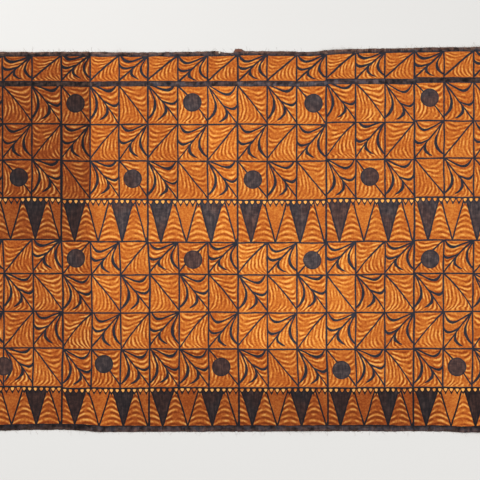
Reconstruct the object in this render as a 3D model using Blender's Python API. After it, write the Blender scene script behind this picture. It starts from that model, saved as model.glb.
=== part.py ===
"""A tapa bark cloth, lying flat with its painted face up.

The cloth is strips of bast beaten thin and pasted into one sheet, so it is one thin solid. Its outline was
trimmed by hand and wanders by a few millimetres, and its middle lies flat. Bark cloth is papery, so its rim
doesn't lie quite flat: low cockles run in from the edges and the corners lift a little.

Lengths are in metres. The cloth is spread in the XY plane, its underside on z = 0 and its painted face
towards +Z. The length of the cloth runs along X, and the design's upper edge is towards +Y. The origin is
under the middle of the outline's box.
"""

import math

import bmesh
import bpy

THICKNESS = 0.0015
HALF_LENGTH = 1.000
GRID_STEP = 0.050

# The trimmed edges, as points that the edge passes through: the place along the edge, then how far out it is.
TOP_EDGE = (
    (-1.000, 0.692),
    (-0.800, 0.6905),
    (-0.600, 0.692),
    (-0.390, 0.689),
    (-0.210, 0.691),
    (-0.080, 0.694),
    (-0.044, 0.688),
    (-0.016, 0.688),
    (-0.009, 0.702),
    (0.013, 0.702),
    (0.026, 0.694),
    (0.140, 0.694),
    (0.260, 0.691),
    (0.342, 0.698),
    (0.423, 0.702),
    (0.600, 0.705),
    (0.740, 0.708),
    (0.894, 0.709),
    (1.000, 0.707),
)
BOTTOM_EDGE = (
    (-1.000, -0.701),
    (-0.872, -0.702),
    (-0.700, -0.699),
    (-0.600, -0.700),
    (-0.490, -0.707),
    (-0.300, -0.7065),
    (0.048, -0.706),
    (0.232, -0.704),
    (0.600, -0.705),
    (0.760, -0.705),
    (0.820, -0.709),
    (0.894, -0.708),
    (1.000, -0.704),
)
LEFT_EDGE = (
    (-0.720, -0.9965),
    (-0.520, -0.9990),
    (-0.260, -0.9950),
    (0.040, -1.0000),
    (0.330, -0.9972),
    (0.560, -0.9935),
    (0.720, -0.9960),
)
RIGHT_EDGE = (
    (-0.720, 0.9970),
    (-0.480, 0.9930),
    (-0.150, 0.9965),
    (0.190, 1.0000),
    (0.450, 0.9955),
    (0.720, 0.9985),
)

# Low cockles: the middle of each, its half length and half width, the turn of its length from +X, and its lift.
COCKLES = (
    (-0.98, 0.68, 0.34, 0.20, -35.0, 0.0060),
    (0.99, 0.69, 0.38, 0.18, 32.0, 0.0050),
    (-0.99, -0.69, 0.30, 0.18, 40.0, 0.0045),
    (0.98, -0.70, 0.36, 0.20, -38.0, 0.0065),
    (-0.42, 0.70, 0.24, 0.11, 78.0, 0.0030),
    (0.36, 0.72, 0.26, 0.12, 100.0, 0.0035),
    (-0.55, -0.71, 0.22, 0.11, 95.0, 0.0030),
    (0.24, -0.71, 0.28, 0.13, 82.0, 0.0035),
    (-1.00, 0.02, 0.24, 0.12, 8.0, 0.0035),
    (1.00, -0.12, 0.26, 0.13, -6.0, 0.0030),
)

CLOTH_COLOUR = (0.328, 0.108, 0.032, 1.0)
CLOTH_ROUGHNESS = 0.85


def clear_scene():
    """Remove the objects that the new file starts with."""
    for thing in list(bpy.data.objects):
        bpy.data.objects.remove(thing, do_unlink=True)


def edge_at(points, place):
    """How far out an edge is at a place along it, eased from each point to the next."""
    for (start, out), (end, next_out) in zip(points, points[1:]):
        if place <= end:
            share = min(max((place - start) / (end - start), 0.0), 1.0)
            return out + (next_out - out) * share * share * (3.0 - 2.0 * share)
    return points[-1][1]


def bell(share):
    """1 in the middle of a cockle, falling smoothly to 0 at its rim."""
    return math.cos(share * math.pi / 2) ** 2 if abs(share) < 1.0 else 0.0


def lift_at(x, y):
    """How far the cloth stands off the surface at a place."""
    lift = 0.0
    for middle_x, middle_y, half_length, half_width, turn, height in COCKLES:
        angle = math.radians(turn)
        along = (x - middle_x) * math.cos(angle) + (y - middle_y) * math.sin(angle)
        across = (y - middle_y) * math.cos(angle) - (x - middle_x) * math.sin(angle)
        lift += height * bell(along / half_length) * bell(across / half_width)
    return lift


def stations(places):
    """The given places, with even steps of at most GRID_STEP between them."""
    steps = [places[0]]
    for start, end in zip(places, places[1:]):
        count = max(1, math.ceil((end - start) / GRID_STEP))
        steps += [start + (end - start) * step / count for step in range(1, count + 1)]
    return steps


def make_material():
    """One matt finish in the cloth's mean colour."""
    material = bpy.data.materials.new("bark_cloth")
    material.use_nodes = True
    shader = material.node_tree.nodes["Principled BSDF"]
    shader.inputs["Base Color"].default_value = CLOTH_COLOUR
    shader.inputs["Roughness"].default_value = CLOTH_ROUGHNESS
    shader.inputs["Metallic"].default_value = 0.0
    return material


def make_cloth():
    """The sheet: a grid drawn out to the trimmed edges, lifted by its cockles and then given its thickness."""
    columns = stations(sorted({place for place, out in TOP_EDGE + BOTTOM_EDGE}))
    half_height = max(out for place, out in TOP_EDGE)
    rows = stations([-half_height] + [place for place, out in LEFT_EDGE[1:-1]] + [half_height])

    sheet = bmesh.new()
    bmesh.ops.create_grid(sheet, x_segments=len(columns) - 1, y_segments=len(rows) - 1, size=0.5)
    for vert in sheet.verts:
        column = round((vert.co.x + 0.5) * (len(columns) - 1))
        row = round((vert.co.y + 0.5) * (len(rows) - 1))
        across = (columns[column] + HALF_LENGTH) / (2 * HALF_LENGTH)
        up = (rows[row] + half_height) / (2 * half_height)
        bottom = edge_at(BOTTOM_EDGE, columns[column])
        y = bottom + (edge_at(TOP_EDGE, columns[column]) - bottom) * up
        left = edge_at(LEFT_EDGE, y)
        x = left + (edge_at(RIGHT_EDGE, y) - left) * across
        vert.co = (x, y, lift_at(x, y))

    mesh = bpy.data.meshes.new("bark_cloth")
    sheet.to_mesh(mesh)
    sheet.free()
    mesh.shade_smooth()
    mesh.materials.append(make_material())
    cloth = bpy.data.objects.new("bark_cloth", mesh)
    bpy.context.collection.objects.link(cloth)
    layers = cloth.modifiers.new("thickness", "SOLIDIFY")
    layers.thickness = THICKNESS
    layers.offset = 1.0
    return cloth


clear_scene()
make_cloth()
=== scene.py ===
# %% [markdown]
# A painted bark cloth, one cell at a time.
# The real cloth is beaten bast, pasted into one sheet. It is laid over a carved board and rubbed with red
# earth, so that the carving comes through, and then the design is painted over by hand in brown black.
# The lesson follows the maker: first the sheet, then the layout that the board gives, then rubbing and paint.

# %% Load the packed part and keep its box
import math
from collections import namedtuple

import bpy
import numpy as np
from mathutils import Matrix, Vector


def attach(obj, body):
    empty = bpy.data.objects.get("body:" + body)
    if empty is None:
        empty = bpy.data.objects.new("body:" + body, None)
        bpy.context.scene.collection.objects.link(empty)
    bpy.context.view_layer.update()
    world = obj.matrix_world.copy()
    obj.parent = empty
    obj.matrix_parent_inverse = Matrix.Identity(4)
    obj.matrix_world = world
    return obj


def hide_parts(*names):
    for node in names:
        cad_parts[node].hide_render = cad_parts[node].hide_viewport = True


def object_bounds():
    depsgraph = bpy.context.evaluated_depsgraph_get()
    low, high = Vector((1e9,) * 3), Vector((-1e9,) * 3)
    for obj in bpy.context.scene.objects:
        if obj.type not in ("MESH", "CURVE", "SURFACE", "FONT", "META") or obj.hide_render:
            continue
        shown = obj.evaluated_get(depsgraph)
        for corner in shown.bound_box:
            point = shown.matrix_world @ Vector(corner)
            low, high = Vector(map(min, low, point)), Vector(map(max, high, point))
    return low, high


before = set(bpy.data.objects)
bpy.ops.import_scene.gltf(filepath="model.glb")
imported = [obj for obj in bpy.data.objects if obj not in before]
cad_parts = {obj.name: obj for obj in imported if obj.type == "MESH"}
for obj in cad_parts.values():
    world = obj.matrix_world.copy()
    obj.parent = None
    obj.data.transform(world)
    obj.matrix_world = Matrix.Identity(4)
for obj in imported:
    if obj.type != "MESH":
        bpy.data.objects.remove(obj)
CAD_BOX = [[float(value) for value in corner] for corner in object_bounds()]
print("solid cloth:", CAD_BOX)

# %% [markdown]
# The camera looks straight down on the cloth, because the photograph shows it face on.
# A long lens keeps the far edges as large as the near ones. The distance is worked out from the width of
# cloth that the picture takes in, so the lens can be changed without changing the framing.

# %% Camera
VIEW_WIDTH = 1.7664
VIEW_MIDDLE = (0.0090, -0.0007)
LENS_MM = 100.0
SENSOR_MM = 36.0


def new_object(name, data):
    """An object of the scene that shows the given data."""
    made = bpy.data.objects.new(name, data)
    bpy.context.collection.objects.link(made)
    return made


camera_data = bpy.data.cameras.new("overhead")
camera_data.lens = LENS_MM
camera_data.sensor_width = SENSOR_MM
camera = new_object("overhead", camera_data)
camera.location = (*VIEW_MIDDLE, VIEW_WIDTH * LENS_MM / SENSOR_MM)
bpy.context.scene.camera = camera
print("camera height:", round(camera.location.z, 3))

# %% [markdown]
# The light is a large soft panel on each side and a pale sky, so the colours read evenly and the low
# cockles of the cloth still catch a little shade. The display transform is the plain one, because the
# colours of the earth and the paint were chosen as they look on a screen.

# %% Light
PANELS = (
    # name, place, size, power
    ("window", (-2.6, 2.4, 4.2), 3.0, 150.0),
    ("bounce", (3.0, -2.2, 3.6), 3.0, 60.0),
)
SKY_STRENGTH = 0.62


def panel_light(name, place, size, power):
    """A square area light that faces the middle of the cloth."""
    data = bpy.data.lights.new(name, "AREA")
    data.energy = power
    data.size = size
    light = new_object(name, data)
    light.location = place
    light.rotation_euler = (-Vector(place)).to_track_quat("-Z", "Y").to_euler()


for name, place, size, power in PANELS:
    panel_light(name, place, size, power)

sky = bpy.data.worlds.new("pale_sky")
sky.use_nodes = True
sky_light = sky.node_tree.nodes["Background"]
sky_light.inputs["Color"].default_value = (1.0, 1.0, 1.0, 1.0)
sky_light.inputs["Strength"].default_value = SKY_STRENGTH
bpy.context.scene.world = sky
bpy.context.scene.view_settings.view_transform = "Standard"
print("lights:", [light.name for light in bpy.data.lights])

# %% [markdown]
# The floor is one plain pale face, a hair below the cloth, so that the two never share a place.

# %% Floor
FLOOR_SIZE = 14.0
FLOOR_DROP = 0.0002
FLOOR_COLOUR = (0.74, 0.73, 0.71, 1.0)
FLOOR_ROUGHNESS = 0.9


def new_finish(name):
    """A material with its tree and its Principled shader."""
    material = bpy.data.materials.new(name)
    material.use_nodes = True
    return material, material.node_tree, material.node_tree.nodes["Principled BSDF"]


half = FLOOR_SIZE / 2
floor_corners = [(-half, -half, 0), (half, -half, 0), (half, half, 0), (-half, half, 0)]
floor_mesh = bpy.data.meshes.new("floor")
floor_mesh.from_pydata(floor_corners, [], [(0, 1, 2, 3)])
floor_finish, floor_tree, floor_shader = new_finish("floor_finish")
floor_shader.inputs["Base Color"].default_value = FLOOR_COLOUR
floor_shader.inputs["Roughness"].default_value = FLOOR_ROUGHNESS
floor_mesh.materials.append(floor_finish)
floor = new_object("floor", floor_mesh)
floor.location.z = -FLOOR_DROP
print("floor:", FLOOR_SIZE, "m, finish:", floor_finish.name, "with", len(floor_tree.nodes), "nodes")

# %% [markdown]
# The outline was trimmed by hand. Each edge is a short list of points that it passes through, in metres
# from the middle of the cloth, and the curve eases from each point to the next. The low cockles of the rim
# are bells on long ovals. These are the same values as the solid cloth has, so the sheet lies in its place.

# %% Trimmed edges and cockles
THICKNESS = 0.0015
TOP_EDGE = (
    (-1.000, 0.692),
    (-0.800, 0.6905),
    (-0.600, 0.692),
    (-0.390, 0.689),
    (-0.210, 0.691),
    (-0.080, 0.694),
    (-0.044, 0.688),
    (-0.016, 0.688),
    (-0.009, 0.702),
    (0.013, 0.702),
    (0.026, 0.694),
    (0.140, 0.694),
    (0.260, 0.691),
    (0.342, 0.698),
    (0.423, 0.702),
    (0.600, 0.705),
    (0.740, 0.708),
    (0.894, 0.709),
    (1.000, 0.707),
)
BOTTOM_EDGE = (
    (-1.000, -0.701),
    (-0.872, -0.702),
    (-0.700, -0.699),
    (-0.600, -0.700),
    (-0.490, -0.707),
    (-0.300, -0.7065),
    (0.048, -0.706),
    (0.232, -0.704),
    (0.600, -0.705),
    (0.760, -0.705),
    (0.820, -0.709),
    (0.894, -0.708),
    (1.000, -0.704),
)
LEFT_EDGE = (
    (-0.720, -0.9965),
    (-0.520, -0.9990),
    (-0.260, -0.9950),
    (0.040, -1.0000),
    (0.330, -0.9972),
    (0.560, -0.9935),
    (0.720, -0.9960),
)
RIGHT_EDGE = (
    (-0.720, 0.9970),
    (-0.480, 0.9930),
    (-0.150, 0.9965),
    (0.190, 1.0000),
    (0.450, 0.9955),
    (0.720, 0.9985),
)
Cockle = namedtuple("Cockle", "x y half_length half_width turn lift")
COCKLES = (
    Cockle(-0.98, 0.68, 0.34, 0.20, -35.0, 0.0060),
    Cockle(0.99, 0.69, 0.38, 0.18, 32.0, 0.0050),
    Cockle(-0.99, -0.69, 0.30, 0.18, 40.0, 0.0045),
    Cockle(0.98, -0.70, 0.36, 0.20, -38.0, 0.0065),
    Cockle(-0.42, 0.70, 0.24, 0.11, 78.0, 0.0030),
    Cockle(0.36, 0.72, 0.26, 0.12, 100.0, 0.0035),
    Cockle(-0.55, -0.71, 0.22, 0.11, 95.0, 0.0030),
    Cockle(0.24, -0.71, 0.28, 0.13, 82.0, 0.0035),
    Cockle(-1.00, 0.02, 0.24, 0.12, 8.0, 0.0035),
    Cockle(1.00, -0.12, 0.26, 0.13, -6.0, 0.0030),
)


def eased(share):
    """A step from 0 to 1 that starts and ends level."""
    share = np.clip(share, 0.0, 1.0)
    return share * share * (3.0 - 2.0 * share)


def edge_at(points, place):
    """How far out an edge is at each place along it."""
    place = np.asarray(place, dtype=float)
    result = np.full(place.shape, points[-1][1])
    for (start, out), (end, next_out) in reversed(list(zip(points, points[1:]))):
        share = eased((place - start) / (end - start))
        result = np.where(place <= end, out + (next_out - out) * share, result)
    return result


def lift_at(x, y):
    """How far the cloth stands off the floor at each place."""
    lift = np.zeros_like(x)
    for cockle in COCKLES:
        turn = math.radians(cockle.turn)
        along = (x - cockle.x) * math.cos(turn) + (y - cockle.y) * math.sin(turn)
        across = (y - cockle.y) * math.cos(turn) - (x - cockle.x) * math.sin(turn)
        bells = [np.cos(np.clip(share, -1, 1) * math.pi / 2) ** 2
                 for share in (along / cockle.half_length, across / cockle.half_width)]
        lift += cockle.lift * bells[0] * bells[1]
    return lift


print("top edge at the tab:", float(edge_at(TOP_EDGE, 0.0)))

# %% [markdown]
# The carved board is three cells wide, and it was laid down six times along the cloth and twice across it.
# No two rubbings meet exactly, so each has its own place: where its left side starts in the upper rubbing, in
# the lower one and in the last row, and how far its lines sit above the middle ones, at the head, the waist,
# below the waist and at the foot. The rows are the board's own, from the head of the cloth to its foot.
# A board's first three values are picked by number, one for each rubbing. A row's course is its line in the
# chart of tones further down, and the dark band has one to itself, the last.

# %% Layout of the rubbings and the rows
Board = namedtuple("Board", "left_above left_below left_last head waist below foot")
BOARDS = (
    Board(-0.9735, -0.9680, -0.9680, -0.0026, 0.0120, 0.0065, 0.0050),
    Board(-0.6482, -0.6427, -0.6465, -0.0028, 0.0055, 0.0010, -0.0010),
    Board(-0.3303, -0.3229, -0.3249, -0.0010, 0.0015, 0.0040, 0.0000),
    Board(0.0002, 0.0017, 0.0052, 0.0000, 0.0000, 0.0000, 0.0000),
    Board(0.3262, 0.3270, 0.3325, 0.0085, 0.0045, 0.0020, 0.0000),
    Board(0.6505, 0.6490, 0.6465, 0.0140, 0.0100, 0.0060, 0.0010),
)
RIGHT_END = (0.9776, 0.9735, 0.9700)
CELLS_PER_BOARD = 3
CELL_WIDTH = 0.1084
SEAM_REACH = 0.006

HEAD_BORDER = 0.0142
FOOT_BORDER = 0.0200
LEVELLING = (-0.075, -0.05, -0.025, 0.0, 0.025, 0.05, 0.075)
HEAD_LINE = 0.668
WAIST_LINE = -0.0112
FOOT_LINE = -0.687

Row = namedtuple("Row", "name finish foot lean course")
ROWS = (
    Row("head border", "border", None, 0, 0),
    Row("short leaves", "leaves", 0.5818, 1, 0),
    Row("dark band", "border", 0.5671, 0, 10),
    Row("leaves one", "leaves", 0.4247, -1, 1),
    Row("leaves two", "leaves", 0.2889, 1, 2),
    Row("leaves three", "leaves", 0.1460, -1, 3),
    Row("upper teeth", "teeth", WAIST_LINE, 0, 4),
    Row("leaves five", "leaves", -0.1296, 1, 5),
    Row("leaves six", "leaves", -0.2690, -1, 6),
    Row("leaves seven", "leaves", -0.4033, 1, 7),
    Row("leaves eight", "leaves", -0.5450, -1, 8),
    Row("lower teeth", "teeth", None, 0, 9),
    Row("foot border", "border", None, 0, 0),
)
cell_count = CELLS_PER_BOARD * len(BOARDS)
print("rows:", len(ROWS), "cells in a row:", cell_count)

# %% [markdown]
# The sheet is a grid whose lines follow the painted lines, so that every cell of the design is its own block
# of faces with its own coordinates from 0 to 1. That is simpler than finding the cell from a position in the
# material, and it lets each rubbing sit a little out of line, as the real ones do.

# %% Helpers for the grid lines
def column_places(row_line):
    """Where the upright lines of the design cross one row line."""
    rubbing = 0 if row_line <= WAIST_INDEX else 1 if row_line < LAST_INDEX else 2
    lefts = [board[rubbing] for board in BOARDS] + [RIGHT_END[rubbing]]
    lines = np.arange(cell_count + 1) / CELLS_PER_BOARD
    return np.interp(lines, np.arange(len(lefts)), lefts)


def board_rise(row_line, x, y):
    """How far the rubbings lift one row line, eased over each seam between two boards."""
    above = row_line <= WAIST_INDEX
    top, bottom = (HEAD_LINE, WAIST_LINE) if above else (WAIST_LINE, FOOT_LINE)
    share = (top - y) / (top - bottom)
    rises = [(board.head if above else board.below) * (1 - share)
             + (board.waist if above else board.foot) * share for board in BOARDS]
    total = np.full_like(x, rises[0])
    for board, rise, last in zip(BOARDS[1:], rises[1:], rises):
        left = board.left_above if above else board.left_below
        total += (rise - last) * eased((x - left + SEAM_REACH) / (2 * SEAM_REACH))
    return total


def row_line_heights(row_line, x):
    """The height of one row line at each place along it. Line 0 is the trimmed head edge."""
    if row_line == 0:
        return edge_at(TOP_EDGE, x)
    if row_line == 1:
        return sum(edge_at(TOP_EDGE, x + shift) for shift in LEVELLING) / len(LEVELLING) - HEAD_BORDER
    if row_line == len(ROWS):
        return edge_at(BOTTOM_EDGE, x)
    if row_line == len(ROWS) - 1:
        return edge_at(BOTTOM_EDGE, x) + FOOT_BORDER
    foot = ROWS[row_line - 1].foot
    return foot + board_rise(row_line, x, foot)


WAIST_INDEX = 1 + next(index for index, row in enumerate(ROWS) if row.foot == WAIST_LINE)
LAST_INDEX = next(index for index, row in enumerate(ROWS) if row.name == "lower teeth")
print("upright lines at the head:", np.round(column_places(1)[:4], 3))

# %% [markdown]
# Each cell is cut into small steps: finer next to its sides, where the lines jog from one board to the next,
# and in the two cells on either side of the tab on the head edge, so that the tab keeps its square shape.
# The border outside the first and the last upright line is one more strip at each end.

# %% Grid of the sheet
CELL_STEPS = (0.0, 0.055, 0.19, 0.34, 0.5, 0.66, 0.81, 0.945)
TAB_STEPS = {8: (0.58, 0.74, 0.86, 0.885, 0.91, 0.98), 9: (0.025, 0.09, 0.125, 0.15, 0.24)}
BORDER_STEPS = (0.0, 0.5)
ROW_STEPS = {"leaves": 8, "teeth": 9, "border": 3}

columns = [(-1, step) for step in BORDER_STEPS]
for cell in range(cell_count):
    columns += [(cell, step) for step in sorted(CELL_STEPS + TAB_STEPS.get(cell, ()))]
columns += [(cell_count, step) for step in BORDER_STEPS] + [(cell_count, 1.0)]
rows = [(row, step / ROW_STEPS[ROWS[row].finish]) for row in range(len(ROWS))
        for step in range(ROW_STEPS[ROWS[row].finish])] + [(len(ROWS) - 1, 1.0)]


def line_points(row_line):
    """The points of the sheet along one row line."""
    lines = column_places(row_line)
    x = np.array([lines[cell] + (lines[cell + 1] - lines[cell]) * step
                  for cell, step in columns if 0 <= cell < cell_count])
    y = row_line_heights(row_line, x)
    ends = []
    for edge, line, outer_first in ((LEFT_EDGE, 0, True), (RIGHT_EDGE, -1, False)):
        height = row_line_heights(row_line, np.array([lines[line]]))[0]
        out = float(edge_at(edge, height))
        steps = BORDER_STEPS if outer_first else (*BORDER_STEPS, 1.0)
        start, end = (out, lines[line]) if outer_first else (lines[line], out)
        places = np.array([start + (end - start) * step for step in steps])
        ends.append(np.stack([places, row_line_heights(row_line, places)], axis=1))
    return np.concatenate([ends[0], np.stack([x, y], axis=1), ends[1]])


row_line_points = [line_points(line) for line in range(len(ROWS) + 1)]
flat_grid = np.array([row_line_points[row] * (1 - step) + row_line_points[row + 1] * step
                      for row, step in rows])
print("grid of the sheet:", flat_grid.shape[1], "by", flat_grid.shape[0])

# %% [markdown]
# A knife that follows a pasted edge never runs quite true, and single layers peel back here and there. The
# rim points are moved in and out by a millimetre or so, from a fixed seed, and the painted face varies in
# thickness, because the bast was beaten by hand. The underside stays on its flat places.

# %% Points of the sheet
RIM_NIBBLE = 0.0011
RELIEF = 0.00022
RELIEF_WAVES = 26
chance = np.random.default_rng(41)


def soft_noise(x, y, longest=0.55, shortest=0.05):
    """A smooth uneven field, as a sum of waves in every direction."""
    total = np.zeros_like(x)
    for wave in range(RELIEF_WAVES):
        length = longest * (shortest / longest) ** (wave / (RELIEF_WAVES - 1))
        turn, phase = chance.uniform(0, 2 * math.pi, 2)
        total += np.sin((x * math.cos(turn) + y * math.sin(turn)) * 2 * math.pi / length + phase)
    return total / math.sqrt(RELIEF_WAVES)


for line, axis in ((flat_grid[0], 1), (flat_grid[-1], 1), (flat_grid[:, 0], 0), (flat_grid[:, -1], 0)):
    line[:, axis] += chance.uniform(-RIM_NIBBLE, RIM_NIBBLE, len(line))
flat_grid[..., 0] = np.clip(flat_grid[..., 0], CAD_BOX[0][0] - RIM_NIBBLE, CAD_BOX[1][0] + RIM_NIBBLE)

x, y = flat_grid[..., 0], flat_grid[..., 1]
lift = lift_at(x, y)
under = np.stack([x, y, lift], axis=-1).reshape(-1, 3)
over = np.stack([x, y, lift + THICKNESS + RELIEF * soft_noise(x, y)], axis=-1).reshape(-1, 3)
print("highest point of the sheet:", round(float(over[:, 2].max()), 4))

# %% [markdown]
# The mesh is made of the painted face, the underside and the cut rim between them. The order of the corners
# decides which way a face looks, so the underside lists its corners the other way round.

# %% Mesh of the sheet
PAINTED = {"leaves": 0, "teeth": 1, "border": 2}
BARE = 3
CORNER_STEPS = ((1, 0), (1, 1), (0, 1), (0, 0))


def grid_index(row, column):
    """The number of a grid point in the list of points."""
    return row * len(columns) + column


point_count = len(over)
faces, finishes, places_in_design = [], [], []
for row in range(len(rows) - 1):
    for column in range(len(columns) - 1):
        cell = columns[column][0]
        finish = ROWS[rows[row][0]].finish if 0 <= cell < cell_count else "border"
        faces.append([grid_index(row + down, column + along) for down, along in CORNER_STEPS])
        finishes.append(PAINTED[finish])
        places_in_design.append((rows[row][0], cell))
painted_count = len(faces)
faces += [[corner + point_count for corner in reversed(face)] for face in faces[:painted_count]]
rim = [grid_index(0, column) for column in range(len(columns) - 1)]
rim += [grid_index(row, len(columns) - 1) for row in range(len(rows) - 1)]
rim += [grid_index(len(rows) - 1, column) for column in range(len(columns) - 1, 0, -1)]
rim += [grid_index(row, 0) for row in range(len(rows) - 1, 0, -1)]
faces += [[start, end, end + point_count, start + point_count] for start, end in zip(rim, rim[1:] + rim[:1])]
finishes += [BARE] * (len(faces) - painted_count)

sheet_mesh = bpy.data.meshes.new("painted_bark_sheet")
sheet_mesh.from_pydata(np.concatenate([over, under]).tolist(), [], faces)
sheet_mesh.polygons.foreach_set("material_index", finishes)
sheet_mesh.shade_smooth()
sheet = new_object("painted_bark_sheet", sheet_mesh)
print("faces:", len(faces), "of which painted:", painted_count)

# %% [markdown]
# Every face is told what it belongs to: where in its cell it lies, how tall that cell is, which way its
# diagonal leans, whether leaf strokes are painted over it, how dark that rubbing came out, and where the
# nearest disc is. The discs were set down by eye, so their middles are a short chart of places. A wash limit
# is the brightest tone that the paint of a row may take, because the filled teeth of the foot are all dark.

# %% Charts of tones, strokes and discs
Patch = namedtuple("Patch", "first_cell last_cell first_course last_course tone")
PATCHES = (
    Patch(0, 3, 0, 0, 0.56),
    Patch(4, 17, 0, 0, 0.92),
    Patch(0, 3, 1, 4, 0.50),
    Patch(8, 8, 1, 4, 1.12),
    Patch(4, 6, 1, 3, 0.90),
    Patch(4, 6, 7, 7, 0.88),
    Patch(0, 3, 5, 8, 0.74),
    Patch(9, 12, 5, 7, 1.12),
    Patch(13, 17, 5, 7, 0.99),
    Patch(0, 8, 8, 8, 0.80),
    Patch(9, 17, 8, 8, 0.91),
    Patch(0, 3, 9, 9, 0.64),
    Patch(4, 4, 9, 9, 0.82),
    Patch(5, 15, 9, 9, 0.58),
    Patch(16, 17, 9, 9, 0.90),
    Patch(0, 3, 10, 10, 0.28),
    Patch(4, 5, 10, 10, 0.86),
    Patch(6, 7, 10, 10, 1.16),
    Patch(8, 8, 10, 10, 0.84),
    Patch(9, 13, 10, 10, 1.40),
    Patch(14, 17, 10, 10, 0.62),
)
EXTRA_WEB = {(6, 8)}
Strokes = namedtuple("Strokes", "outer inner side")
STROKES = {
    "short leaves": Strokes(0.90, 0.53, 0.97),
    "leaves one": Strokes(0.96, 0.50, 0.96),
    "leaves five": Strokes(0.85, 0.49, 0.96),
    "leaves seven": Strokes(0.87, 0.49, 0.97),
    "leaves eight": Strokes(0.90, 0.50, 0.90),
}
USUAL_STROKES = Strokes(0.93, 0.50, 0.93)
DISCS = (
    (-0.596, 0.502), (-0.167, 0.506), (0.280, 0.503), (0.707, 0.523),
    (-0.805, 0.230), (-0.386, 0.225), (0.056, 0.222), (0.486, 0.233), (0.924, 0.247),
    (-0.595, -0.068), (-0.164, -0.073), (0.275, -0.075), (0.709, -0.071),
    (-0.861, -0.465), (-0.492, -0.457), (-0.060, -0.468), (0.382, -0.479), (0.807, -0.467),
)
SEAM_EXTRA = 0.0006
SMEARED_SEAM = 1
SMEAR_EXTRA = 0.0020
BORDER_WEAR = {"head border": 0.78, "dark band": 0.45, "foot border": 0.30}
SIDE_WEAR = 0.5
WASH_LIMIT = {"lower teeth": 0.50}
NO_LIMIT = 2.0
BAND_MIDDLE = 0.3
print("patches of tone:", len(PATCHES), "discs:", len(DISCS))

# %% [markdown]
# The charts are read cell by cell. A border has no cells, so there the map says how far out towards the
# trimmed edge a point lies, because the paint is worn most at the very edge.

# %% What each face belongs to
cell_chance = chance.uniform(0.0, 1.0, (len(ROWS), cell_count + 2, 3))


def border_reach(row, column):
    """How far out towards the trimmed edge a grid point of a border lies, from 0 to 1."""
    cell, step = columns[column]
    row_index, row_step = rows[row]
    side = {-1: 1.0 - step, cell_count: step}.get(cell, 0.0)
    head = 1.0 - row_step if row_index == 0 else 0.0
    foot = row_step if row_index == len(ROWS) - 1 else 0.0
    return max(side, head, foot)


def place_in_cell(face_row, face_column, row, column):
    """The place of a grid point in the cell that a face belongs to, as across and up."""
    row_index, cell = rows[face_row][0], columns[face_column][0]
    finish = ROWS[row_index].finish
    inside = 0 <= cell < cell_count
    if finish == "border" or not inside:
        in_band = inside and ROWS[row_index].name == "dark band"
        return (0.0, BAND_MIDDLE if in_band else border_reach(row, column))
    across = columns[column][1] if columns[column][0] == cell else 1.0
    down = rows[row][1] if rows[row][0] == row_index else 1.0
    if finish == "teeth":
        across = (cell % CELLS_PER_BOARD + across) / CELLS_PER_BOARD
    return (across, 1.0 - down)


def tone_of(cell, course):
    """How bright the rubbing came out in one cell."""
    tone = 1.0
    for patch in PATCHES:
        if patch.first_cell <= cell <= patch.last_cell and patch.first_course <= course <= patch.last_course:
            tone = patch.tone
    return tone


def seam_of(cell, course):
    """How much wider the line of a board seam is: below 0 for the cell's left side, above 0 for its right."""
    board, place = divmod(cell, CELLS_PER_BOARD)
    seam = {0: board, CELLS_PER_BOARD - 1: board + 1}.get(place)
    if seam is None:
        return 0.0
    extra = SMEAR_EXTRA if seam == SMEARED_SEAM and 2 <= course <= 4 else SEAM_EXTRA
    return -extra if place == 0 else extra


def facts_of(row_index, cell):
    """The values that every face of one cell shares."""
    row = ROWS[row_index]
    inside = 0 <= cell < cell_count
    column = columns.index((min(max(cell, 0), cell_count - 1), 0.5))
    height = row_line_points[row_index][column][1] - row_line_points[row_index + 1][column][1]
    leafy = row.finish == "leaves" and inside
    web = leafy and ((cell + row.course) % 2 == 1 or (cell, row.course) in EXTRA_WEB)
    return {
        "cell_height": float(height),
        "lean": 1.0 if row.lean < 0 else 0.0,
        "web": 1.0 if web else 0.0,
        **STROKES.get(row.name, USUAL_STROKES)._asdict(),
        "seam": seam_of(cell, row.course),
        "wear": BORDER_WEAR.get(row.name, SIDE_WEAR) if inside else SIDE_WEAR,
        "wash": WASH_LIMIT.get(row.name, NO_LIMIT),
        "hand": [float(value) for value in cell_chance[row_index, cell + 1]],
    }


facts = {place: facts_of(*place) for place in set(places_in_design)}
face_facts = [facts[place] for place in places_in_design]
print("cells and strips:", len(facts), "webs:", sum(fact["web"] for fact in facts.values()))

# %% [markdown]
# The facts go onto the mesh as face attributes, and the place in the cell as a map with its own name.
# The underside gets the same values as the face above it, because dye and paint soak through a little.

# %% Place in the cell, and the facts of each face
NUMBER_FACTS = ("cell_height", "lean", "web", "outer", "inner", "side", "seam", "wear", "wash")
RIM_FACT = 0.1
RIM_PLACE = (0.0, 1.0)
rim_count = len(faces) - 2 * painted_count


def corner_values(value_at, on_rim):
    """A value for each corner of each face: painted face, underside the other way round, and rim."""
    corners = []
    for face in range(painted_count):
        row, column = divmod(face, len(columns) - 1)
        corners.append([value_at(row, column, row + down, column + along) for down, along in CORNER_STEPS])
    values = [value for four in corners for value in four]
    values += [value for four in corners for value in reversed(four)]
    return values + [on_rim] * (len(sheet_mesh.loops) - len(values))


cell_map = sheet_mesh.uv_layers.new(name="cell")
cell_map.data.foreach_set("uv", np.array(corner_values(place_in_cell, RIM_PLACE), dtype=np.float32).ravel())
for name in NUMBER_FACTS:
    values = [fact[name] for fact in face_facts]
    attribute = sheet_mesh.attributes.new(name, "FLOAT", "FACE")
    attribute.data.foreach_set("value", values + values + [RIM_FACT] * rim_count)
print("map:", cell_map.name, "facts:", len(NUMBER_FACTS))

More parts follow.
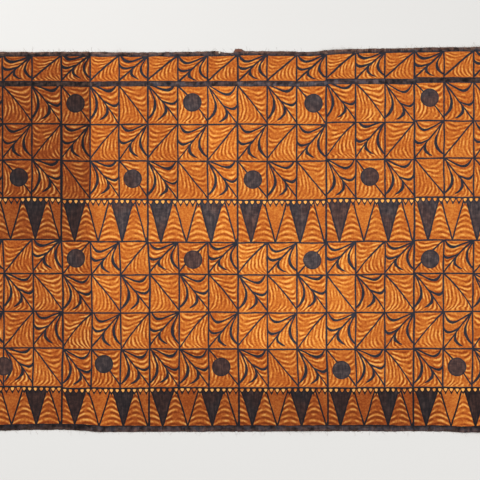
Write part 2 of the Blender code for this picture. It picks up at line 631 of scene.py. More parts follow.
# %% [markdown]
# The tone is even inside a leaf cell. In a row of teeth it runs on from cell to cell, because a tooth stands
# across two cells and its wash has no step in it. So the tone is kept at the corners of the faces.

# %% Tone at each corner
RIM_TONE = 1.0


def tone_at(face_row, face_column, row, column):
    """The tone at a grid point, as the face that it belongs to has it."""
    row_index, cell = rows[face_row][0], min(max(columns[face_column][0], 0), cell_count - 1)
    course = ROWS[row_index].course
    if ROWS[row_index].finish != "teeth":
        return tone_of(cell, course)
    place = columns[column][0] + columns[column][1] - 0.5
    return float(np.interp(place, range(cell_count), [tone_of(each, course) for each in range(cell_count)]))


tones = corner_values(tone_at, RIM_TONE)
sheet_mesh.attributes.new("tone", "FLOAT", "CORNER").data.foreach_set("value", tones)
print("tones from", min(tones), "to", max(tones))

# %% [markdown]
# Each face also keeps the middle of the disc nearest to it, and three chance numbers that its whole cell
# shares. They bend the diagonal, shift the strokes and slide the arcs, so that no two cells are alike.

# %% Nearest disc and chance of the hand
RIM_HAND = [0.5, 0.5, 0.5]

middles = np.array([face.center for face in sheet_mesh.polygons])
disc_middles = np.array(DISCS)
nearest = np.argmin(np.hypot(middles[:, None, 0] - disc_middles[None, :, 0],
                             middles[:, None, 1] - disc_middles[None, :, 1]), axis=1)
disc_values = np.concatenate([disc_middles[nearest], np.zeros((len(faces), 1))], axis=1)
hands = np.array([fact["hand"] for fact in face_facts] * 2 + [RIM_HAND] * rim_count)
for name, values in (("disc", disc_values), ("hand", hands)):
    attribute = sheet_mesh.attributes.new(name, "FLOAT_VECTOR", "FACE")
    attribute.data.foreach_set("vector", values.astype(np.float32).ravel())
print("attributes:", [attribute.name for attribute in sheet_mesh.attributes if not attribute.is_internal])

# %% [markdown]
# A pattern made of nodes is arithmetic, and arithmetic reads best as arithmetic. A Wire stands for one output
# socket: adding, multiplying or comparing wires adds the Math nodes and links them. The rest of the lesson
# writes its formulas that way, and the node editor shows the same steps as boxes.

# %% Wires
def feed(tree, socket, value):
    """Link a wire to a socket, or set the socket's own value."""
    if isinstance(value, Wire):
        tree.links.new(value.socket, socket)
    else:
        socket.default_value = value


def add_node(tree, kind, inputs, output=0, **settings):
    """Add a node, set it up, feed its inputs and return one output as a wire."""
    node = tree.nodes.new(kind)
    for name, value in settings.items():
        setattr(node, name, value)
    for name, value in (inputs.items() if isinstance(inputs, dict) else enumerate(inputs)):
        feed(tree, node.inputs[name], value)
    return Wire(tree, node.outputs[output])


class Wire:
    """One output socket, on which arithmetic adds Math nodes."""

    def __init__(self, tree, socket):
        self.tree = tree
        self.socket = socket

    def math(self, operation, *others):
        return add_node(self.tree, "ShaderNodeMath", [self, *others], operation=operation)

    def __add__(self, other):
        return self.math("ADD", other)

    def __sub__(self, other):
        return self.math("SUBTRACT", other)

    def __rsub__(self, other):
        return add_node(self.tree, "ShaderNodeMath", [other, self], operation="SUBTRACT")

    def __mul__(self, other):
        return self.math("MULTIPLY", other)

    def __truediv__(self, other):
        return self.math("DIVIDE", other)

    __radd__ = __add__
    __rmul__ = __mul__

    def size(self):
        return self.math("ABSOLUTE")

    def low(self, other):
        return self.math("MINIMUM", other)

    def high(self, other):
        return self.math("MAXIMUM", other)

    def raised(self, power):
        return self.math("POWER", power)

    def below(self, other):
        return self.math("LESS_THAN", other)

    def rise(self, start, end):
        """A soft step from 0 at start to 1 at end."""
        return add_node(self.tree, "ShaderNodeMapRange", {"Value": self, "From Min": start, "From Max": end},
                        interpolation_type="SMOOTHSTEP")

    def parts(self):
        """The three parts of a vector."""
        node = add_node(self.tree, "ShaderNodeSeparateXYZ", [self]).socket.node
        return [Wire(self.tree, socket) for socket in node.outputs]


print("what a wire can do:", [name for name in vars(Wire) if not name.startswith("_")])

# %% [markdown]
# Some steps need a node of their own: going over from one number or colour to another, a colour ramp, a
# noise, and reading the place on the cloth, the place in the cell and the facts that the mesh carries.

# %% Node helpers
def blend(share, first, second):
    """Goes from the first number to the second as share goes from 0 to 1."""
    return add_node(share.tree, "ShaderNodeMix", {0: share, 2: first, 3: second})


def tint(share, first, second):
    """Goes from the first colour to the second as share goes from 0 to 1."""
    return add_node(share.tree, "ShaderNodeMix", {0: share, 6: first, 7: second}, 2, data_type="RGBA")


def ramp(share, stops):
    """A colour ramp with the given (place, colour) stops."""
    node = share.tree.nodes.new("ShaderNodeValToRGB")
    elements = node.color_ramp.elements
    while len(elements) < len(stops):
        elements.new(1.0)
    for element, (place, colour) in zip(elements, stops):
        element.position = place
        element.color = (*colour, 1.0)
    feed(share.tree, node.inputs[0], share)
    return Wire(share.tree, node.outputs[0])


def shaded(colour, tone, powers):
    """A colour taken down by the tone, with its own power of it for red, green and blue."""
    shade = add_node(colour.tree, "ShaderNodeCombineColor", [tone.raised(power) for power in powers])
    return add_node(colour.tree, "ShaderNodeVectorMath", [colour, shade], operation="MULTIPLY")


def noise(tree, place, scale, detail=2.0, output="Fac"):
    """A noise texture; scale is in lumps to the metre."""
    return add_node(tree, "ShaderNodeTexNoise", {"Vector": place, "Scale": scale, "Detail": detail}, output)


def stretched(tree, place, scale):
    """The place with a scale of its own on each axis, for noises that are longer one way."""
    return add_node(tree, "ShaderNodeMapping", {"Vector": place, "Scale": scale})


def object_place(tree):
    """The place on the cloth, in metres."""
    return add_node(tree, "ShaderNodeTexCoord", {}, "Object")


def cell_place(tree):
    """The place in the cell, across and up."""
    return add_node(tree, "ShaderNodeUVMap", {}, 0, uv_map="cell").parts()[:2]


def face_fact(tree, name, output="Fac"):
    """A fact that the mesh carries."""
    return add_node(tree, "ShaderNodeAttribute", {}, output, attribute_name=name)


def distance(across, up):
    """How far away a point is, from its gaps across and up."""
    return (across * across + up * up).math("SQRT")


print("node helpers ready")

# %% [markdown]
# What more than one finish needs is a node group. It is built once, with named inputs and outputs, and each
# finish places it with its own values.

# %% Group helpers
FLOAT, COLOUR = "NodeSocketFloat", "NodeSocketColor"


def new_group(name, inputs, outputs):
    """A shader node group with named sockets. Returns its tree, its input wires and its output node."""
    tree = bpy.data.node_groups.new(name, "ShaderNodeTree")
    for socket_name, value in inputs.items():
        tree.interface.new_socket(socket_name, in_out="INPUT", socket_type=FLOAT).default_value = value
    for socket_name, kind in outputs.items():
        tree.interface.new_socket(socket_name, in_out="OUTPUT", socket_type=kind)
    source, sink = tree.nodes.new("NodeGroupInput"), tree.nodes.new("NodeGroupOutput")
    return tree, {name: Wire(tree, source.outputs[name]) for name in inputs}, sink


def put_out(tree, sink, **values):
    """Feed the named outputs of a group."""
    for name, value in values.items():
        feed(tree, sink.inputs[name], value)
    return tree


def use_group(tree, group, **values):
    """Place a group in a tree with its own values, and return its outputs as wires."""
    node = tree.nodes.new("ShaderNodeGroup")
    node.node_tree = group
    for name, value in values.items():
        feed(tree, node.inputs[name.replace("_", " ")], value)
    return {socket.name: Wire(tree, socket) for socket in node.outputs}


def tell(made):
    """Print how many nodes a group or a finish has."""
    print(made.name, "has", len(getattr(made, "node_tree", made).nodes), "nodes")


print("group helpers ready")

# %% [markdown]
# No line on the cloth is straight. A slow sway and a quick tremble of the hand are two noises that read the
# place on the cloth, so a line stays whole where it passes from one cell, or one finish, into the next.

# %% Group: sway of the hand
SWAY_SCALE, SWAY_SHARE = 9.0, 3.0
TREMBLE_SCALE, TREMBLE_SHARE = 55.0, 0.8


def make_sway():
    tree, values, sink = new_group("hand_sway", {"Reach": 0.0022}, {"Across": FLOAT, "Up": FLOAT})
    place = object_place(tree)
    slow = noise(tree, place, SWAY_SCALE, 1.0, "Color").parts()
    quick = noise(tree, place, TREMBLE_SCALE, 1.0, "Color").parts()
    across, up = [((slow[axis] - 0.5) * SWAY_SHARE + (quick[axis] - 0.5) * TREMBLE_SHARE) * values["Reach"]
                  for axis in range(2)]
    return put_out(tree, sink, Across=across, Up=up)


hand_sway = make_sway()
tell(hand_sway)

# %% [markdown]
# Beaten bast keeps its fibres. Two thin layers lie crossed, so a noise stretched along the cloth and one
# stretched across it are laid together, with the fine ribs that the grooved beater leaves in patches.

# %% Group: beaten bast
ALONG_THE_CLOTH = (26.0, 480.0, 26.0)
ACROSS_THE_CLOTH = (420.0, 22.0, 22.0)
RIB_PITCH = 0.0021
RIB_SLANT = 0.35
RIB_WANDER = 0.05


def make_bast():
    tree, _, sink = new_group("beaten_bast", {}, {"Fibre": FLOAT, "Height": FLOAT, "Blotch": FLOAT})
    place = object_place(tree)
    layers = [noise(tree, stretched(tree, place, scale), 1.0, 3.0)
              for scale in (ALONG_THE_CLOTH, ACROSS_THE_CLOTH)]
    fibre = blend(noise(tree, place, 14.0).rise(0.4, 0.6), layers[0], layers[1])
    x, y = place.parts()[:2]
    patch = noise(tree, place, 11.0, 1.0)
    ribs = ((x * RIB_SLANT + y + patch * RIB_WANDER) * (2 * math.pi / RIB_PITCH)).math("SINE")
    height = fibre * 0.75 + ribs * patch.rise(0.42, 0.62) * 0.12
    return put_out(tree, sink, Fibre=fibre, Height=height, Blotch=noise(tree, place, 7.0, 4.0))


beaten_bast = make_bast()
tell(beaten_bast)

# %% [markdown]
# Red earth is rubbed over the cloth on its board. It catches on the carved ridges and leaves the hollows
# light, so the ground is a range from dark rust to pale orange. Arcs says where the carving left a ridge. The
# ridges stand out more where the rubbing came out dark. Dye sums the ridges, the blotches of the bast and the
# grain, and the ramp turns it into a colour.

# %% Group: rubbed earth
TONE_SHIFT = 0.42
EARTH_POWERS = (0.62, 0.52, 0.10)
EARTH = (
    (0.0, (0.240, 0.042, 0.006)),
    (0.26, (0.390, 0.078, 0.011)),
    (0.50, (0.560, 0.150, 0.022)),
    (0.74, (0.750, 0.268, 0.044)),
    (1.0, (0.930, 0.440, 0.104)),
)


def make_rubbed():
    tree, values, sink = new_group("rubbed_earth", {"Arcs": 0.0, "Tone": 1.0, "Depth": 0.2},
                                   {"Color": COLOUR, "Height": FLOAT})
    bast = use_group(tree, beaten_bast)
    place = object_place(tree)
    hold = noise(tree, place, 30.0, 3.0)
    grain = noise(tree, place, 150.0, 3.0)
    contrast = values["Depth"] * (values["Tone"].rise(1.0, 0.7) * 0.34 + 1.0)
    dye = values["Arcs"] * contrast * hold.rise(0.30, 0.66) + 0.5
    dye = dye + (bast["Blotch"] - 0.5) * 0.50 + (bast["Fibre"] - 0.5) * 0.35 + (hold - 0.5) * 0.25
    dye = dye + (grain - 0.5) * 0.75 + (values["Tone"] - 1.0) * TONE_SHIFT
    colour = shaded(ramp(dye, EARTH), values["Tone"], EARTH_POWERS)
    return put_out(tree, sink, Color=colour, Height=bast["Height"])


rubbed_earth = make_rubbed()
tell(rubbed_earth)

# %% [markdown]
# The paint is brown black. Brushed lines dry blue black and nearly solid. Large fills are a thinner wash, in
# which the fibres and the brush show as brown patches, and some of them dried to slate. Depth goes from the
# thin wash to the thick line. Paint is darker too where the ground below it was rubbed dark.

# %% Group: brown black paint
BROWN_WASH = ((0.36, (0.030, 0.018, 0.019)), (0.50, (0.072, 0.039, 0.035)), (0.64, (0.165, 0.085, 0.066)))
SLATE_WASH = ((0.36, (0.020, 0.019, 0.024)), (0.50, (0.050, 0.042, 0.046)), (0.64, (0.120, 0.094, 0.090)))
THICK_LINE = ((0.35, (0.012, 0.015, 0.024)), (0.6, (0.027, 0.028, 0.039)), (0.75, (0.068, 0.055, 0.060)))
PAINT_POWERS = (1.35, 1.50, 1.50)
BRUSH_STREAKS = (150.0, 22.0, 22.0)


def make_paint():
    tree, values, sink = new_group("dark_paint", {"Depth": 1.0, "Tone": 1.0}, {"Color": COLOUR})
    bast = use_group(tree, beaten_bast)
    place = object_place(tree)
    streak = noise(tree, stretched(tree, place, BRUSH_STREAKS), 1.0, 3.0)
    mottle = noise(tree, place, 60.0, 3.0) * 0.4 + streak * 0.35 + bast["Fibre"] * 0.25
    slated = noise(tree, place, 5.5, 1.0).rise(0.42, 0.58) * 0.8
    wash = tint(slated, ramp(mottle, BROWN_WASH), ramp(mottle, SLATE_WASH))
    colour = tint(values["Depth"], wash, ramp(mottle, THICK_LINE))
    return put_out(tree, sink, Color=shaded(colour, values["Tone"], PAINT_POWERS))


dark_paint = make_paint()
tell(dark_paint)

# %% [markdown]
# A brushed line is a gap to its middle, compared with half its width. The brush drags over the fibres, so
# the edge of every line is nibbled by the bast, and the line swells and thins as it goes.

# %% Group: brushed line
NIBBLE_REACH = 0.0022
LINE_EDGE = 0.0006


def make_brush():
    tree, values, sink = new_group("brushed_line", {"Gap": 0.0, "Half width": 0.003}, {"Mask": FLOAT})
    place = object_place(tree)
    swell = noise(tree, place, 26.0, 2.0) * 0.8 + 0.6
    nibble = (noise(tree, place, 260.0, 2.0) - 0.5) * NIBBLE_REACH
    gap = values["Gap"] + nibble - values["Half width"] * swell
    return put_out(tree, sink, Mask=gap.rise(LINE_EDGE, -LINE_EDGE))


def brush(gap, half_width):
    """The mask of a brushed line, from the gap to its middle."""
    return use_group(gap.tree, brushed_line, Gap=gap, Half_width=half_width)["Mask"]


brushed_line = make_brush()
tell(brushed_line)

# %% [markdown]
# The finishes share one ending: the ground, with the paint over it, on fibres that stand up a little. Paint
# stands a little higher than the bast and shines a little more.

# %% Helper: cloth finish
BUMP_REACH = 0.0004
BUMP_STRENGTH = 0.5
PAINT_HEIGHT = 0.25
BARE_ROUGHNESS, PAINT_ROUGHNESS = 0.88, 0.66
CLOTH_GLOSS = 0.12


def finish_cloth(tree, shader, colour, height, painted):
    """Feed the shader with the cloth's colour, its fibres and the sheen of the paint."""
    feed(tree, shader.inputs["Base Color"], colour)
    feed(tree, shader.inputs["Roughness"], blend(painted, BARE_ROUGHNESS, PAINT_ROUGHNESS))
    shader.inputs["Specular IOR Level"].default_value = CLOTH_GLOSS
    bump = {"Strength": BUMP_STRENGTH, "Distance": BUMP_REACH, "Height": height + painted * PAINT_HEIGHT}
    feed(tree, shader.inputs["Normal"], add_node(tree, "ShaderNodeBump", bump, "Normal"))


print("finish helper ready")

# %% [markdown]
# In a leaf cell every arc is a smaller copy of the outermost one, shrunk towards the foot of the diagonal.
# So one number, the level, tells which arc a point is on: the larger of its two coordinates, times a factor
# that depends on the slope alone. The diagonal is a mirror line, and taking the smaller and the larger
# coordinate folds the two halves of the cell onto each other. A brushed stroke is one level of its own. Away
# from the middle of the arc it slides off the carved ones, as the painter's hand did.

# %% Arcs and strokes of a leaf cell
LINE_HALF = 0.0031
STROKE_HALF = 0.0047
ARC_SAG, ARC_HOOK = 0.215, 0.13
SIDE_PULL, SIDE_SLIDE = 0.10, 0.30
TOP_CURL, CURL_MIDDLE, CURL_REACH = 0.065, 0.47, 0.40
STROKE_SLANT = 0.83
WARP_SCALE = 38.0


def arc_level(across, up):
    """The nested arc that a point is on, from 0 at the foot of the diagonal to 1, and the slope there."""
    small, large = across.low(up).high(0.0), across.high(up).high(0.01)
    slope = small / large
    sag = (slope.raised(0.88) * math.pi).math("SINE") * ARC_SAG
    hook = (1.0 - slope).raised(14.0) * ARC_HOOK
    return large * (sag - hook + 1.0), slope


def carved_warp(tree):
    """How far the knife wandered on the board, about 0 on the mean."""
    return noise(tree, object_place(tree), WARP_SCALE, 2.0) - 0.5


def leaf_strokes(level, slope, at_side, up, height):
    """The outer and the inner stroke, above the diagonal and beside it, where the cell has strokes at all."""
    tree = level.tree
    hand = face_fact(tree, "hand", "Vector").parts()
    outer = blend(at_side, face_fact(tree, "outer"), face_fact(tree, "side")) + (hand[0] - 0.5) * 0.05
    inner = face_fact(tree, "inner") + (hand[2] - 0.5) * 0.08
    slide = (1.0 - slope).raised(2.0) * SIDE_SLIDE
    curl = ((slope - CURL_MIDDLE) / CURL_REACH).raised(2.0) * TOP_CURL * (1.0 - at_side)
    pull = at_side * SIDE_PULL
    step_size = blend(at_side, height, CELL_WIDTH) * STROKE_SLANT
    outer_level = level - slide * at_side + pull * slope.rise(1.0, 0.75) - curl
    inner_level = level - slide * at_side + pull
    outer_half = STROKE_HALF * up.rise(-0.02, 0.22) + 0.0004
    inner_half = STROKE_HALF * (1.0 - at_side * slope.rise(0.14, 0.07)) + 0.0002
    outer_stroke = brush((outer_level - outer).size() * step_size, outer_half)
    inner_stroke = brush((inner_level - inner).size() * step_size, inner_half)
    return outer_stroke.high(inner_stroke) * face_fact(tree, "web")


print("arcs:", ARC_SAG, "sag,", ARC_HOOK, "hook")

# %% [markdown]
# A disc is painted over the arcs of its cell: a thin wash inside, and a darker line just within its rim. The
# leaf cell then puts it all together, in metres from the foot of the cell, so that every line keeps its width
# in a tall cell and in a low one.

# %% Finish: leaf cells
ARC_PITCH = 0.155
DISC_RADIUS = 0.0344
DISC_EDGE = 0.0012
DISC_LINE = 0.93
DIAGONAL_SLANT = 0.62


def from_disc(tree, across, up):
    """The distance to the middle of the nearest disc, after a shift across and up."""
    disc = face_fact(tree, "disc", "Vector").parts()
    place = object_place(tree).parts()
    return distance(place[0] - disc[0] + across, place[1] - disc[1] + up)


def make_leaves():
    material, tree, shader = new_finish("painted_leaves")
    across, up = cell_place(tree)
    height, lean, seam = [face_fact(tree, name) for name in ("cell_height", "lean", "seam")]
    first, second = face_fact(tree, "hand", "Vector").parts()[:2]
    sway = use_group(tree, hand_sway)
    x = across * CELL_WIDTH + sway["Across"]
    y = up * height + sway["Up"]
    side_gap = (x.size() + seam.low(0.0)).low((x - CELL_WIDTH).size() - seam.high(0.0))
    frame_gap = side_gap.low(y.size()).low((y - height).size())
    frame_line = brush(frame_gap, LINE_HALF)

    across, up = x / CELL_WIDTH, y / height
    across = blend(lean, across, 1.0 - across)
    bow = across * (1.0 - across) * (first * 0.30) + (1.0 - across) * (second * 0.10 - 0.01)
    up_from_diagonal = up - bow
    diagonal = brush((up_from_diagonal - across).size() * height * DIAGONAL_SLANT, LINE_HALF * 0.95)
    level, slope = arc_level(across, up_from_diagonal)
    strokes = leaf_strokes(level, slope, up_from_diagonal.below(across), up, height)

    to_disc = from_disc(tree, sway["Across"] * 0.6, sway["Up"] * 0.6)
    fill = brush(to_disc - DISC_RADIUS + DISC_EDGE, DISC_EDGE)
    disc_line = brush((to_disc - DISC_RADIUS * DISC_LINE).size(), LINE_HALF * 0.8)

    carved_level = level + (second - 0.5) * 0.08 + carved_warp(tree) * 0.115
    wave = (carved_level * (2 * math.pi / ARC_PITCH)).math("COSINE")
    wave = wave * frame_gap.rise(0.002, 0.011) * (first * 0.5 + 0.75)
    tone = face_fact(tree, "tone")
    ground = use_group(tree, rubbed_earth, Arcs=wave, Tone=tone, Depth=0.46)
    lines = frame_line.high(diagonal).high(strokes)
    painted = lines.high(fill)
    depth = lines * (1.0 - fill) * 0.9 + disc_line * fill * 0.6
    paint = use_group(tree, dark_paint, Depth=depth, Tone=tone)
    finish_cloth(tree, shader, tint(painted, ground["Color"], paint["Color"]), ground["Height"], painted)
    return material


painted_leaves = make_leaves()
tell(painted_leaves)

# %% [markdown]
# A row of teeth repeats once in each board. Long triangles point down, filled and open by turns, and the
# ground between them stands up as triangles full of hill shaped arcs. Small light drops hang from the line
# above, each in a brushed V. The coordinates here run across a whole board.

# %% Finish: rows of teeth
BOARD_WIDTH = CELLS_PER_BOARD * CELL_WIDTH
FIRST_TOOTH = 0.0487
TOOTH_PITCH = 0.0902
TOOTH_SHARE = 0.478
TOOTH_SLANT = 0.96
SMALL_TEETH = 15
SMALL_PITCH = BOARD_WIDTH / SMALL_TEETH
SMALL_DEPTH = 0.0215
SMALL_SLANT = 0.44
DROP_MIDDLE = 0.0084
DROP_RADIUS = 0.0057
DROP_EDGE = 0.0010
HILL_PITCH = 0.0205
HILL_DROP = 0.016


def small_row(x, down):
    """The masks of the brushed Vs and of the light drops that they hold."""
    small = ((x / SMALL_PITCH).math("FRACT") - 0.5).size() * 2.0
    zigzag = down - (1.0 - small) * SMALL_DEPTH
    narrowed = small * (SMALL_PITCH / 2) * (down * 75.0 + 0.42)
    drop = distance(narrowed, down - DROP_MIDDLE).rise(DROP_RADIUS + DROP_EDGE, DROP_RADIUS - DROP_EDGE)
    return brush(zigzag.size() * SMALL_SLANT, LINE_HALF * 0.8), drop


def make_teeth():
    material, tree, shader = new_finish("painted_teeth")
    across, up = cell_place(tree)
    height = face_fact(tree, "cell_height")
    sway = use_group(tree, hand_sway)
    x = across * BOARD_WIDTH + sway["Across"]
    y = up * height + sway["Up"]
    down = height - y
    side_gap = x.size().low((x - BOARD_WIDTH).size()) - SEAM_EXTRA
    frame_line = brush(side_gap.low(y.size()).low(down.size()), LINE_HALF)

    turn = (x - FIRST_TOOTH) / TOOTH_PITCH + 0.5
    filled = (turn.math("FLOOR") * 0.5).math("FRACT").below(0.25)
    reach = y / height * TOOTH_SHARE
    tooth_gap = ((turn.math("FRACT") - 0.5).size() - reach) * TOOTH_PITCH * TOOTH_SLANT
    tooth_side = brush(tooth_gap.size(), LINE_HALF)
    fill = brush(tooth_gap, 0.001) * filled
    small_line, drop = small_row(x, down)
    between = down.rise(0.0062, 0.0050)

    hill = (turn + 0.5).math("FRACT") - 0.5
    spread = (hill / (0.5 - reach).high(0.02)).size().low(1.2)
    hill_height = y + spread * spread * HILL_DROP + carved_warp(tree) * 0.005
    wave = (hill_height * (2 * math.pi / HILL_PITCH)).math("COSINE") * tooth_gap.rise(0.0, 0.004)
    tone = face_fact(tree, "tone")
    ground = use_group(tree, rubbed_earth, Arcs=blend(drop, wave, 1.6), Tone=tone + drop * 0.20, Depth=0.44)

    thick = frame_line.high(tooth_side).high(small_line).high(between)
    painted = thick.high(fill) * (1.0 - drop * (1.0 - frame_line))
    paint = use_group(tree, dark_paint, Depth=thick * 0.8, Tone=tone.low(face_fact(tree, "wash")))
    finish_cloth(tree, shader, tint(painted, ground["Color"], paint["Color"]), ground["Height"], painted)
    return material


painted_teeth = make_teeth()
tell(painted_teeth)

# %% [markdown]
# The borders were painted solid. Handling has worn the head of the cloth: the paint is rubbed to a brown
# grey there, loose bast fibres show pale in it, and the very rim is bare in places. The tab on the head edge
# is a patch of redder bark that was pasted on, and a bare fleck lies beside it.

# %% Finish: painted borders
WORN_BAST = ((0.35, (0.105, 0.050, 0.036)), (0.55, (0.195, 0.105, 0.075)), (0.70, (0.400, 0.245, 0.170)))
TAB_LEFT, TAB_RIGHT, TAB_FOOT = -0.012, 0.016, 0.690
TAB_SIDE, TAB_RISE = 0.002, 0.004
TAB_BARK = (0.190, 0.070, 0.042, 1.0)
FLECK_X, FLECK_Y, FLECK_RADIUS = -0.0665, 0.6893, 0.0034
FLECK_BARK = (0.62, 0.55, 0.45, 1.0)


def make_borders():
    material, tree, shader = new_finish("painted_borders")
    reach = cell_place(tree)[1]
    wear = face_fact(tree, "wear")
    bast = use_group(tree, beaten_bast)
    place = object_place(tree)
    rubbed_off = noise(tree, place, 60.0, 4.0) * 0.7 + bast["Fibre"] * 0.3 + reach * 0.22
    bare = rubbed_off.rise(0.45, 0.84) * wear
    depth = (0.85 - reach * wear * 1.6).high(0.0)
    coat = noise(tree, place, 42.0, 2.0).rise(0.36, 0.62) * 0.80 + 0.46
    paint = use_group(tree, dark_paint, Depth=depth, Tone=face_fact(tree, "tone") * coat)
    x, y = place.parts()[:2]
    right_of_left = x.rise(TAB_LEFT - TAB_SIDE, TAB_LEFT + TAB_SIDE)
    left_of_right = x.rise(TAB_RIGHT + TAB_SIDE, TAB_RIGHT - TAB_SIDE)
    on_tab = right_of_left * left_of_right * y.rise(TAB_FOOT, TAB_FOOT + TAB_RISE)
    on_fleck = distance(x - FLECK_X, y - FLECK_Y).rise(FLECK_RADIUS * 1.3, FLECK_RADIUS * 0.7)
    colour = tint(bare, paint["Color"], ramp(bast["Fibre"], WORN_BAST))
    colour = tint(on_fleck, tint(on_tab * 0.75, colour, TAB_BARK), FLECK_BARK)
    finish_cloth(tree, shader, colour, bast["Height"], 1.0 - bare)
    return material


painted_borders = make_borders()
tell(painted_borders)

# %% [markdown]
# The back of the cloth was never painted. It is the bast's own tan, with the fibres plain to see, and the
# paint of the face has soaked through as a faint shadow of the grid and the discs.

# %% Finish: bare bast
BACK_TAN = ((0.30, (0.250, 0.130, 0.058)), (0.50, (0.420, 0.245, 0.118)), (0.72, (0.600, 0.400, 0.220)))
EARTH_STAIN = (0.330, 0.120, 0.040, 1.0)
PAINT_STAIN = (0.110, 0.062, 0.040, 1.0)


def make_bare():
    material, tree, shader = new_finish("bare_bast")
    across, up = cell_place(tree)
    bast = use_group(tree, beaten_bast)
    grid_gap = across.low(1.0 - across).low(up).low(1.0 - up)
    under_disc = from_disc(tree, 0.0, 0.0).rise(DISC_RADIUS * 1.1, DISC_RADIUS * 0.9)
    soaked = under_disc.high(grid_gap.rise(0.05, 0.01) * 0.6)
    stain = bast["Blotch"].rise(0.35, 0.7)
    tan = ramp(bast["Fibre"] * 0.7 + bast["Blotch"] * 0.3, BACK_TAN)
    tan = tint(stain * 0.35, tan, EARTH_STAIN)
    tan = tint(soaked * (0.25 + stain * 0.30), tan, PAINT_STAIN)
    finish_cloth(tree, shader, tan, bast["Height"], soaked * 0.2)
    return material


bare_bast = make_bare()
for material in (painted_leaves, painted_teeth, painted_borders, bare_bast):
    sheet_mesh.materials.append(material)
print("finishes on the sheet:", [material.name for material in sheet_mesh.materials])

# %% [markdown]
# Loose fibres are pale where they are clean, and dark where the paint has wetted them.

# %% Finish: loose bast
LOOSE_BAST = ((0.35, (0.085, 0.052, 0.042)), (0.55, (0.200, 0.118, 0.080)), (0.70, (0.400, 0.265, 0.170)))


def make_loose_bast():
    material, tree, shader = new_finish("loose_bast")
    shade = noise(tree, object_place(tree), 90.0, 2.0)
    finish_cloth(tree, shader, ramp(shade, LOOSE_BAST), shade, shade * 0.0)
    return material


loose_bast = make_loose_bast()
tell(loose_bast)

# %% [markdown]
# Single bast fibres work loose all along the cut edge. A Geometry Nodes tree scatters them: it turns the rim
# into a curve, takes points along it, and puts a thin bent fibre on each, pointing outwards. Every choice
# that one might want to change later is a named input of the tree.

# %% Nodes of the frayed rim
FRAY = {
    "Fibres": 620,
    "Shortest": 0.003,
    "Longest": 0.022,
    "Thickness": 0.00036,
    "Seed": 7,
}
FIBRE_ROOT, FIBRE_MIDDLE, FIBRE_TIP = (0.0, 0.0, 0.0), (0.45, 0.0022, 0.0), (1.0, 0.0, 0.0)
FIBRE_STEPS, FIBRE_SIDES = 4, 3
DROOP, STRAY = 0.14, 1.15
FEW_LONG = 3.0


def random_between(tree, low, high, seed):
    """A random number for each point."""
    return add_node(tree, "FunctionNodeRandomValue", {2: low, 3: high, 8: seed}, 1, data_type="FLOAT")


def vector(tree, *parts):
    """A vector of three numbers or wires."""
    return add_node(tree, "ShaderNodeCombineXYZ", parts)


def make_fibre(tree, thickness):
    """One fibre of unit length along X, a little bent, with three sides."""
    spine = add_node(tree, "GeometryNodeCurveQuadraticBezier",
                     {"Resolution": FIBRE_STEPS, "Start": FIBRE_ROOT,
                      "Middle": FIBRE_MIDDLE, "End": FIBRE_TIP})
    ring = add_node(tree, "GeometryNodeCurvePrimitiveCircle",
                    {"Resolution": FIBRE_SIDES, "Radius": thickness * 0.5})
    return add_node(tree, "GeometryNodeCurveToMesh",
                    {"Curve": spine, "Profile Curve": ring, "Fill Caps": True})


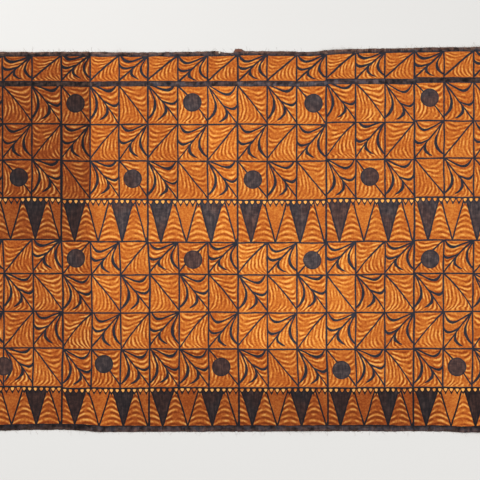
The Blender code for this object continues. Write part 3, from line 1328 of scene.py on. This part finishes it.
def make_fray(finish):
    tree = bpy.data.node_groups.new("frayed_rim", "GeometryNodeTree")
    tree.interface.new_socket("Geometry", in_out="INPUT", socket_type="NodeSocketGeometry")
    for name, value in FRAY.items():
        kind = "NodeSocketInt" if isinstance(value, int) else FLOAT
        tree.interface.new_socket(name, in_out="INPUT", socket_type=kind)
    tree.interface.new_socket("Geometry", in_out="OUTPUT", socket_type="NodeSocketGeometry")
    source, sink = tree.nodes.new("NodeGroupInput"), tree.nodes.new("NodeGroupOutput")
    rim, fibres, shortest, longest, thickness, seed = [Wire(tree, socket) for socket in source.outputs[:6]]

    curve = add_node(tree, "GeometryNodeMeshToCurve", {"Mesh": rim})
    points = add_node(tree, "GeometryNodeCurveToPoints", {"Curve": curve, "Count": fibres}, mode="COUNT")
    tangent = Wire(tree, points.socket.node.outputs["Tangent"])
    outward = add_node(tree, "ShaderNodeVectorMath", [(0.0, 0.0, 1.0), tangent], operation="CROSS_PRODUCT")
    facing = add_node(tree, "FunctionNodeAlignRotationToVector", {"Vector": outward},
                      axis="X", pivot_axis="Z")
    flip = random_between(tree, 0.0, 1.0, seed).math("ROUND") * math.pi
    droop = random_between(tree, -DROOP, 0.0, seed + 1.0)
    stray = random_between(tree, -STRAY, STRAY, seed + 2.0)
    turn = add_node(tree, "FunctionNodeEulerToRotation", [vector(tree, flip, droop, stray)])
    facing = add_node(tree, "FunctionNodeRotateRotation", {"Rotation": facing, "Rotate By": turn},
                      rotation_space="LOCAL")
    length = shortest + (longest - shortest) * random_between(tree, 0.0, 1.0, seed + 3.0).raised(FEW_LONG)
    placed = add_node(tree, "GeometryNodeInstanceOnPoints",
                      {"Points": points, "Instance": make_fibre(tree, thickness), "Rotation": facing,
                       "Scale": vector(tree, length, 1.0, 1.0)})
    whole = add_node(tree, "GeometryNodeRealizeInstances", {"Geometry": placed})
    dressed = add_node(tree, "GeometryNodeSetMaterial", {"Geometry": whole, "Material": finish})
    return put_out(tree, sink, Geometry=dressed)


fray_nodes = make_fray(loose_bast)
tell(fray_nodes)

# %% [markdown]
# The tree needs the rim as a closed loop of edges. It runs half way up the thickness. The result is kept as a
# plain mesh, so the piece no longer depends on the modifier.

# %% Frayed rim
rim_points = (over[rim] + under[rim]) / 2
rim_edges = [(index, (index + 1) % len(rim)) for index in range(len(rim))]
rim_mesh = bpy.data.meshes.new("rim_loop")
rim_mesh.from_pydata(rim_points.tolist(), rim_edges, [])
rim_loop = new_object("rim_loop", rim_mesh)
modifier = rim_loop.modifiers.new("fray", "NODES")
modifier.node_group = fray_nodes
for item in fray_nodes.interface.items_tree:
    if item.in_out == "INPUT" and item.name in FRAY:
        modifier[item.identifier] = FRAY[item.name]
bpy.context.view_layer.update()
evaluated = rim_loop.evaluated_get(bpy.context.evaluated_depsgraph_get())
fray_mesh = bpy.data.meshes.new_from_object(evaluated)
fray_mesh.name = "frayed_rim"
fray_mesh.materials.clear()
fray_mesh.materials.append(loose_bast)
fray_mesh.polygons.foreach_set("material_index", [0] * len(fray_mesh.polygons))
bpy.data.objects.remove(rim_loop, do_unlink=True)
frayed_rim = new_object("frayed_rim", fray_mesh)
lowest = min(vert.co.z for vert in fray_mesh.vertices)
print("fibres:", FRAY["Fibres"], "faces:", len(fray_mesh.polygons), "lowest:", round(lowest, 5),
      "finish:", [material.name for material in fray_mesh.materials])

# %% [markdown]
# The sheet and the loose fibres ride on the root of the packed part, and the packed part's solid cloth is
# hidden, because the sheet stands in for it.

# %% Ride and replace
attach(sheet, "root")
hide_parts("bark_cloth")
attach(frayed_rim, "root")
print("pieces:", sheet.name, "and", frayed_rim.name)

# %% [markdown]
